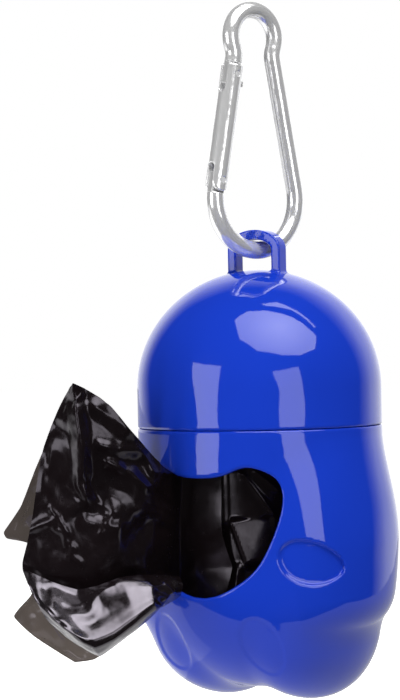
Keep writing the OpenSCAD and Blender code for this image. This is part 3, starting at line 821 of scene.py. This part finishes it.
def film_piece(name, rows, coarse, growth, mat, seed, calm, lines):
    """A sheet through its control rows: it buckles into large facets first, then gets its fine creases."""
    points = patch(enlarged(rows), *coarse)
    points = crumple(points, growth, np.maximum(edge_pins(*coarse), calm(*coarse)), seed)
    nu, nv = ((n - 1) * FINER + 1 for n in coarse)
    points = relax(ridged(patch(points, nu, nv, 0.75), lines), 2)
    still = np.clip(calm(nu, nv), 0, 1)[..., None]
    fine = points * still + crinkle(points, seed) * (1 - still)
    obj = mesh_object(name, fine.reshape(-1, 3), grid_faces(nu, nv))
    finish_piece(obj, mat, None, "black_film")
    return obj


# Each row runs from inside the opening out to the free edge, and the rows go from top to bottom. A point is
# (x, y, near), near in mm.
FRONT_ROWS = [
    [(880, 425, 14), (800, 425, 13.2), (720, 420, 12.5), (655, 392, 19.5), (590, 325, 21.2), (520, 245, 25.1),
     (440, 145, 26.9), (345, 78, 27.7), (320, 64, 28), (305, 56, 28.2), (293, 50, 28.2)],
    [(882, 480, 14), (800, 480, 12.8), (720, 470, 11.9), (645, 440, 19.3), (570, 390, 21.3), (490, 320, 24.8),
     (400, 230, 26.6), (314, 150, 28.3), (290, 150, 27.5), (268, 130, 27), (252, 120, 26)],
    [(880, 540, 14), (800, 540, 12.4), (720, 530, 11.3), (640, 500, 18.8), (560, 460, 21.6), (480, 410, 24.7),
     (400, 350, 25.9), (323, 290, 27.8), (275, 260, 27), (235, 240, 25.9), (205, 225, 24.5)],
    [(878, 600, 14), (800, 600, 12), (720, 590, 10.6), (635, 560, 18.3), (550, 530, 21.3), (470, 500, 24.3),
     (395, 450, 25.2), (330, 420, 27), (270, 390, 26.3), (215, 340, 25.7), (165, 330, 24.5)],
    [(885, 660, 14), (800, 660, 11.6), (720, 650, 9.9), (630, 630, 17.6), (540, 610, 20.7), (455, 580, 24.2),
     (390, 560, 24.6), (340, 510, 26.4), (265, 500, 25.8), (205, 480, 25.5), (140, 480, 25.1)],
    [(905, 720, 14), (800, 730, 11.1), (720, 730, 9.1), (630, 710, 16.9), (535, 690, 20.1), (450, 670, 23.8),
     (380, 640, 24.3), (305, 600, 25.4), (245, 610, 25.1), (190, 590, 25), (125, 600, 24.3)],
    [(930, 790, 14), (800, 800, 10.7), (720, 810, 8.2), (630, 800, 16.1), (530, 790, 19.4), (440, 780, 22.9),
     (370, 760, 24), (310, 730, 24.2), (270, 720, 24.5), (180, 720, 24.4), (105, 700, 23.6)],
    [(915, 870, 14), (790, 885, 10.2), (720, 880, 7.5), (640, 870, 15.5), (540, 860, 18.5), (450, 870, 22),
     (380, 880, 23), (320, 860, 23.1), (250, 850, 23.3), (160, 820, 24), (86, 790, 24)],
    [(905, 900, 14), (790, 915, 10.2), (720, 915, 7.5), (640, 910, 15.5), (540, 915, 17.3), (450, 930, 20.7),
     (380, 945, 21.7), (320, 945, 21.7), (250, 935, 21.8), (180, 905, 22), (110, 860, 22)]]
FLAP_ROWS = [
    [(720, 830, 14), (640, 820, 20), (560, 820, 25), (480, 830, 27), (400, 860, 28), (310, 880, 28),
     (210, 850, 28), (110, 810, 27)],
    [(738, 855, 17), (680, 830, 24), (600, 850, 28), (500, 850, 28.8), (430, 885, 29.6), (340, 960, 31),
     (200, 960, 31), (110, 870, 28)],
    [(735, 880, 18), (690, 880, 25), (610, 900, 29.6), (530, 940, 31.4), (440, 985, 32.4), (350, 1025, 33.3),
     (220, 1010, 33.4), (150, 950, 30.5)],
    [(730, 890, 18), (680, 920, 25), (620, 950, 31), (550, 1005, 33.3), (458, 1068, 34.9), (372, 1104, 35.7),
     (290, 1065, 34.4), (180, 1010, 31)],
    [(728, 900, 16), (670, 950, 21), (610, 990, 25), (545, 1040, 27.5), (462, 1103, 29), (400, 1148, 29.5),
     (330, 1110, 31), (230, 1050, 30)],
    [(720, 890, 13), (670, 930, 16), (610, 970, 18), (545, 1020, 20), (470, 1070, 22), (400, 1110, 23),
     (330, 1090, 24), (240, 1050, 25)]]
LEFT_ROWS = [
    [(664, 400, 12.5), (540, 280, 15), (430, 140, 18), (340, 80, 20), (290, 60, 21), (260, 130, 20)],
    [(664, 480, 12.5), (520, 400, 12), (400, 300, 14), (300, 240, 18), (240, 230, 19), (190, 285, 20)],
    [(664, 560, 12.5), (500, 520, 10), (380, 450, 14), (270, 400, 15), (190, 380, 20), (135, 410, 18)],
    [(664, 640, 12.5), (500, 620, 11), (370, 580, 12), (250, 540, 17), (150, 520, 16), (85, 535, 20)],
    [(664, 720, 12.5), (500, 720, 10), (370, 690, 13), (250, 650, 14), (120, 630, 18), (5, 660, 19)],
    [(670, 800, 12.5), (520, 820, 10), (390, 800, 12), (270, 760, 15), (160, 710, 16), (108, 683, 18)]]
LOW_ROWS = [
    [(660, 800, 12.5), (480, 780, 12), (360, 780, 16), (240, 780, 18), (150, 840, 20), (120, 905, 22)],
    [(665, 850, 12.5), (480, 860, 12), (370, 880, 14), (250, 890, 18), (140, 920, 19), (50, 985, 21)],
    [(665, 890, 12.5), (500, 950, 13), (390, 980, 15), (280, 1000, 16), (190, 1010, 20), (130, 1060, 20)],
    [(660, 910, 12.5), (510, 1010, 13), (420, 1060, 15), (330, 1090, 18), (270, 1110, 18), (228, 1122, 20)],
    [(650, 930, 12.5), (520, 1030, 14), (450, 1100, 16), (380, 1150, 17), (330, 1163, 19), (305, 1168, 20)]]


# The roll's film stands on these radii, and a degree round it is this long.
ROLL_R, WINDING_R, DEGREE = 15.0, 8.05, 0.262
# Folds on the roll: angle from straight ahead in degrees and depth below the crown, of both ends, then height
# and width.
FOLDS = [(3, 38, 3, 47.3, 1.0, 1.1), (17.5, 38.3, 39.7, 46, 0.5, 0.8), (26.9, 38, 43.5, 41.6, 0.45, 0.7),
         (14, 56, 11, 61, 1.0, 1.3)]
FACET_TURN, FACET_LEFT, FACET_TOP, FACET_FOOT = 40.0, 6.0, 46.4, 57.0
FACET_R = 14.4


def roll_film():
    """The wound bags, with the loose folds of the outer turn pressed into their surface."""
    low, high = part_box("bag_roll")
    n_round, n_up, n_end = 300, 150, 22
    ang = np.linspace(0, 2 * math.pi, n_round, endpoint=False)
    a, z = np.meshgrid(ang, np.linspace(low[2] / MM, high[2] / MM, n_up), indexing="ij")
    base = np.stack([ROLL_R * np.cos(a), ROLL_R * np.sin(a), z], -1).reshape(-1, 3)
    h = (creases(base, 14, 5) - 0.8) * 0.35 + (creases(base * np.array([1, 1, 0.4]), 5, 9) - 0.8) * 0.06
    along = (np.degrees(a) % 360 - 270).ravel()
    depth = CROWN_Z - z.ravel()
    for a0, d0, a1, d1, proud, wide in FOLDS:
        e = np.array([(a1 - a0) * DEGREE, d1 - d0])
        q = np.stack([(along - a0) * DEGREE, depth - d0], -1)
        t = np.clip(q @ e / (e @ e), 0, 1)
        off = np.linalg.norm(q - t[:, None] * e, axis=1)
        h += proud * np.clip(1 - off / wide, 0, 1) ** 1.5
    # One loose turn stands off as a flat facet that looks to the right, under a line across the window.
    turn = np.radians(along - FACET_TURN)
    below = depth - FACET_TOP
    plane = (FACET_R + 0.14 * np.clip(below, 0, 12)) / np.maximum(np.cos(turn), 0.8) - ROLL_R
    left = FACET_LEFT + below * 1.25
    on = (np.clip((along - left) / 2.5, 0, 1) * np.clip((FACET_TURN - along) / 3, 0, 1)
          * np.clip((below + 0.02 * (along - 20)) / 0.7, 0, 1)
          * np.clip((FACET_FOOT - 0.07 * (along - 14) - depth) / 1.6, 0, 1))
    h = h * (1 - 0.8 * on) + plane * on
    r = ROLL_R + np.clip(h, -1.0, 2.5)
    outer = np.stack([r * np.cos(a.ravel()), r * np.sin(a.ravel()), z.ravel()], -1).reshape(n_round, n_up, 3)
    rings = [outer[:, k] for k in range(n_up)]
    # The ends sink a little towards the core, where the turns have slipped.
    for end, way in ((rings[-1], 1), (rings[0], -1)):
        more = []
        for k in range(1, n_end + 1):
            t = k / n_end
            radius = (1 - t) * np.hypot(end[:, 0], end[:, 1]) + t * WINDING_R
            slip = way * (-0.25 * (k % 2) - 0.35 * math.sin(t * math.pi))
            more.append(np.stack([radius * np.cos(ang), radius * np.sin(ang), end[:, 2] + slip], -1))
        rings = rings + more if way == 1 else more[::-1] + rings
    pts = np.stack(rings, 0)
    i, j = np.meshgrid(np.arange(len(pts)), np.arange(n_round), indexing="ij")
    # Each ring joins the next one, and the last joins the first along the card core.
    i2, j2 = (i + 1) % len(pts), (j + 1) % n_round
    faces = np.stack([i * n_round + j, i * n_round + j2, i2 * n_round + j2, i2 * n_round + j], -1)
    obj = mesh_object("roll_film", pts.reshape(-1, 3), faces.reshape(-1, 4))
    finish_piece(obj, ROLL_FILM, "roll", "black_film", "bag_roll")


def inside_hole(nu, nv):
    """Weights that keep the part of the front sheet inside the case smooth."""
    out = shares(nu, nv)[1]
    return np.clip(1 - (out - 0.22) / 0.12, 0, 1)


def lit_band(nu, nv):
    """Weights that keep the flap's lit fold flat."""
    down, out = shares(nu, nv)
    ends = np.clip((out - 0.2) / 0.08, 0, 1), np.clip((0.78 - out) / 0.08, 0, 1)
    return np.clip(1.6 - np.abs(down - 0.5) / 0.1, 0, 1) * ends[0] * ends[1]


def all_loose(nu, nv):
    """Weights that keep nothing smooth."""
    return np.zeros((nu, nv))


FRONT_LINES = [
    (293, 50, 308, 150, 1.5, 40), (308, 150, 325, 300, 1.7, 45), (325, 300, 332, 420, 1.5, 42),
    (332, 420, 345, 500, 1.2, 40), (345, 500, 452, 565, 0.8, 50), (452, 565, 405, 650, 0.7, 42),
    (345, 610, 480, 630, 0.7, 46), (400, 300, 470, 318, 0.9, 30), (470, 318, 572, 328, 0.9, 34),
    (572, 328, 612, 402, 0.8, 30), (428, 372, 530, 408, 0.8, 26), (530, 408, 588, 472, 0.7, 24),
    (380, 150, 520, 238, 0.9, 50), (205, 560, 235, 592, 0.55, 18), (225, 575, 213, 628, 0.5, 16),
    (235, 600, 262, 642, 0.55, 18), (228, 642, 272, 652, 0.5, 15), (255, 650, 262, 702, 0.55, 18),
    (262, 690, 302, 716, 0.5, 16), (285, 700, 281, 752, 0.55, 18), (290, 745, 326, 772, 0.5, 16),
    (250, 300, 262, 440, -1.0, 24), (262, 440, 240, 540, -0.9, 26), (560, 560, 640, 600, 0.6, 34),
    (380, 450, 420, 560, -0.7, 36), (120, 640, 210, 600, 0.7, 24)]
FLAP_LINES = [
    (150, 900, 260, 1010, 0.8, 34), (260, 1010, 330, 1085, 0.7, 30), (640, 820, 705, 905, 0.4, 14),
    (300, 900, 200, 860, -0.7, 40)]

# Each sheet: its rows, the points of the grid that buckles, how much it grows, its flat size in metres, its
# material, the seed of its creases, what stays smooth, and its ridges.
SHEETS = {
    "film_front": (FRONT_ROWS, (21, 26), 0.022, (0.040, 0.036), FILM, 3, inside_hole, FRONT_LINES),
    "film_flap": (FLAP_ROWS, (12, 22), 0.02, (0.038, 0.017), FLAP_FILM, 5, lit_band, FLAP_LINES),
    "film_left": (LEFT_ROWS, (14, 14), 0.04, (0.030, 0.028), THIN_FILM, 7, all_loose, ()),
    "film_low": (LOW_ROWS, (9, 14), 0.04, (0.029, 0.014), THIN_FILM, 9, all_loose, ())}


def build_film():
    roll_film()
    for name, (rows, coarse, growth, flat, mat, seed, calm, lines) in SHEETS.items():
        obj = film_piece(name, rows, coarse, growth, mat, seed, calm, lines)
        if name == "film_front":
            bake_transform(obj)
            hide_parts("bag_tail")
        else:
            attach(obj, "bag")


build_film()

# Stage
WHITE = (1, 1, 1, 1)
AXIS_MID = np.array([0.0, 0.0, -85.0])
# An octagonal softbox, with its boom across one corner, as outlines of (across, up) points.
SOFTBOX = {
    "softbox": [(-300, 16), (-205, 222), (-98, 244), (-2, 190), (285, -60), (272, -188), (105, -268),
                (-50, -252), (-229, -158)],
    "softbox_corner": [(8, 268), (95, 252), (300, 18), (284, 8), (143, 160), (24, 238)]}
SOFTBOX_FROM, SOFTBOX_AWAY, SOFTBOX_AT = (0.235, 0.867, 0.438), 450, np.array([0, 0, -70.9])
SOFTBOX_GLOW, SOFTBOX_EXTRA = 4.3, 2.6
# Each strip: its angles from the camera's direction at foot and head, the head's height and its strength.
STRIPS = {"strip_left": ((-63, -38), (-68, -38.5), 121, 3.5), "strip_right": ((21, 42), (11, 38), 92, 3.0)}
STRIP_FOOT, STRIP_AWAY, STRIP_POINTS = -128, 500, 9
# Where the table glows, as (forward, aside) points: under the whole case, and brighter to its left.
TABLE_Z, TABLE_GLOW = -131.2, 0.68
TABLE = ((36, -900), (36, 60), (-10, 105), (-120, 150), (-2600, 190), (-2600, -900))
BESIDE = ((14, -17), (-400, -17), (-400, -400), (14, -400))
BESIDE_MID, BESIDE_EXTRA, BESIDE_UP = (-60, -200), 1.5, 0.4
# A card's extra light fades out this far from its middle.
GLOW_REACH = 240
# The floor reaches this far each way, and lies low enough for the shell's travel.
FLOOR_HALF, FLOOR_DROP, FLOOR_GLOW = 4000, 66, 0.72
# Each lamp: its direction as the camera's right, up and toward, its distance, its size and its power in W.
LAMPS = {
    "key": ((0.3, 0.95, 0.6), 700, 420, 4.5), "fill": ((-0.8, 0.25, 0.6), 800, 500, 1.6),
    "under": ((0.1, -0.6, 0.8), 800, 500, 1.5), "under_left": ((-0.8, -0.6, 0.3), 800, 500, 3.0),
    "back": ((0.15, 0.55, -0.82), 800, 500, 4.0)}


def emitter(name, strength, middle, extra):
    """A light surface, which can be brighter by extra towards its middle."""
    mat = bpy.data.materials.new(name)
    mat.use_nodes = True
    tree = mat.node_tree
    tree.nodes.clear()
    light = node(tree, "ShaderNodeEmission", Color=WHITE, Strength=strength)
    if middle is not None:
        where = tree.nodes.new("ShaderNodeTexCoord")
        away = node(tree, "ShaderNodeVectorMath", operation="DISTANCE")
        away.inputs[1].default_value = tuple(middle * MM)
        tree.links.new(where.outputs["Object"], away.inputs[0])
        glow = ramp(tree, away.outputs["Value"], 0.0, GLOW_REACH * MM, strength + extra, strength)
        tree.links.new(glow, light.inputs["Strength"])
    out = tree.nodes.new("ShaderNodeOutputMaterial")
    tree.links.new(light.outputs[0], out.inputs["Surface"])
    return mat


def card(name, points, strength, middle=None, extra=0.0, faces=None):
    """A softbox or reflector that only mirror-like surfaces see, by default of one face."""
    mesh = bpy.data.meshes.new(name)
    mesh.from_pydata([tuple(p * MM) for p in points], [], faces or [tuple(range(len(points)))])
    obj = placed(name, mesh)
    mesh.materials.append(emitter(name, strength, middle, extra))
    for ray in ("camera", "diffuse", "transmission", "volume_scatter", "shadow"):
        setattr(obj, "visible_" + ray, False)


def from_view(right, up, toward):
    """A direction given by the camera's right, up and toward."""
    d = RIGHT * right + UP * up + TOWARD * toward
    return d / np.linalg.norm(d)


def make_softbox():
    """The softbox faces the case."""
    d = from_view(*SOFTBOX_FROM)
    side = np.cross(UP, d)
    side /= np.linalg.norm(side)
    top = np.cross(d, side)
    place = SOFTBOX_AT + d * SOFTBOX_AWAY
    for name, outline in SOFTBOX.items():
        card(name, [place + side * a + top * b for a, b in outline], SOFTBOX_GLOW, place, SOFTBOX_EXTRA)


def make_strips():
    """Upright strips, curved round the case's axis."""
    n = STRIP_POINTS
    faces = [(i, i + 1, n + i + 1, n + i) for i in range(n - 1)]
    for name, (foot, head, top, strength) in STRIPS.items():
        points = []
        for z, ends in ((STRIP_FOOT, foot), (top, head)):
            for angle in np.radians(np.linspace(*ends, n)):
                d = from_view(math.sin(angle), 0, math.cos(angle))
                points.append(np.array([0, 0, z]) + np.array([d[0], d[1], 0]) * STRIP_AWAY)
        card(name, points, strength, faces=faces)


def make_table():
    """The parts of the table that the case mirrors."""
    forward = np.array([TOWARD[0], TOWARD[1], 0])
    forward /= np.linalg.norm(forward)
    aside = np.array([-forward[1], forward[0], 0])

    def on_table(a, b, up=0.0):
        return np.array([0, 0, TABLE_Z + up]) + forward * a + aside * b
    card("floor_glow", [on_table(a, b) for a, b in TABLE], TABLE_GLOW)
    card("floor_left", [on_table(a, b, BESIDE_UP) for a, b in BESIDE], TABLE_GLOW, on_table(*BESIDE_MID),
         BESIDE_EXTRA)


def make_world():
    """White for the camera and through film. Reflections go from dark beside the camera to white behind."""
    world = bpy.data.worlds.new("studio")
    scene.world = world
    world.use_nodes = True
    tree = world.node_tree
    tree.nodes.clear()
    rays = tree.nodes.new("ShaderNodeLightPath").outputs
    where = tree.nodes.new("ShaderNodeTexCoord")
    facing = node(tree, "ShaderNodeVectorMath", operation="DOT_PRODUCT")
    facing.inputs[1].default_value = tuple(from_view(0.2, 0, -1))
    tree.links.new(where.outputs["Generated"], facing.inputs[0])
    mirrored = ramp(tree, facing.outputs["Value"], 0.42, 0.74, 0.03, 1.3)
    strength = mix_value(tree, rays["Is Glossy Ray"], 0.32, mirrored)
    for ray in ("Is Camera Ray", "Is Transmission Ray"):
        strength = mix_value(tree, rays[ray], strength, 1.0)
    sky = node(tree, "ShaderNodeBackground", Color=WHITE)
    tree.links.new(strength, sky.inputs["Strength"])
    out = tree.nodes.new("ShaderNodeOutputWorld")
    tree.links.new(sky.outputs[0], out.inputs["Surface"])


def make_lamps():
    for name, (direction, distance, size, power) in LAMPS.items():
        data = bpy.data.lights.new(name, "AREA")
        data.shape = "DISK"
        data.size = size * MM
        data.energy = power
        obj = placed(name, data)
        d = from_view(*direction)
        obj.location = Vector((AXIS_MID + d * distance) * MM)
        obj.rotation_euler = Vector(-d).to_track_quat("-Z", "Y").to_euler()
        obj.visible_glossy = False


def make_floor():
    """A pale floor that the camera sees and nothing mirrors."""
    mesh = bpy.data.meshes.new("floor")
    half, z = FLOOR_HALF * MM, (TABLE_Z - FLOOR_DROP) * MM
    corners = ((-1, -1), (1, -1), (1, 1), (-1, 1))
    mesh.from_pydata([(x * half, y * half, z) for x, y in corners], [], [(0, 1, 2, 3)])
    obj = placed("floor", mesh)
    mat, tree, bsdf = new_material("pale_floor")
    tint = noise(tree, 4, 2)
    tree.links.new(mix_colour(tree, tint, (0.90, 0.90, 0.90), (0.94, 0.94, 0.94)),
                   bsdf.inputs["Base Color"])
    preset(bsdf, {"Roughness": 0.9, "Specular IOR Level": 0.0, "Emission Color": WHITE})
    path = tree.nodes.new("ShaderNodeLightPath")
    glow = node(tree, "ShaderNodeMath", operation="MULTIPLY")
    glow.inputs[1].default_value = FLOOR_GLOW
    tree.links.new(path.outputs["Is Camera Ray"], glow.inputs[0])
    tree.links.new(glow.outputs[0], bsdf.inputs["Emission Strength"])
    mesh.materials.append(mat)
    for ray in ("glossy", "diffuse", "shadow"):
        setattr(obj, "visible_" + ray, False)


scene.view_settings.view_transform = "Standard"
make_camera()
make_softbox()
make_strips()
make_table()
make_world()
make_lamps()
make_floor()
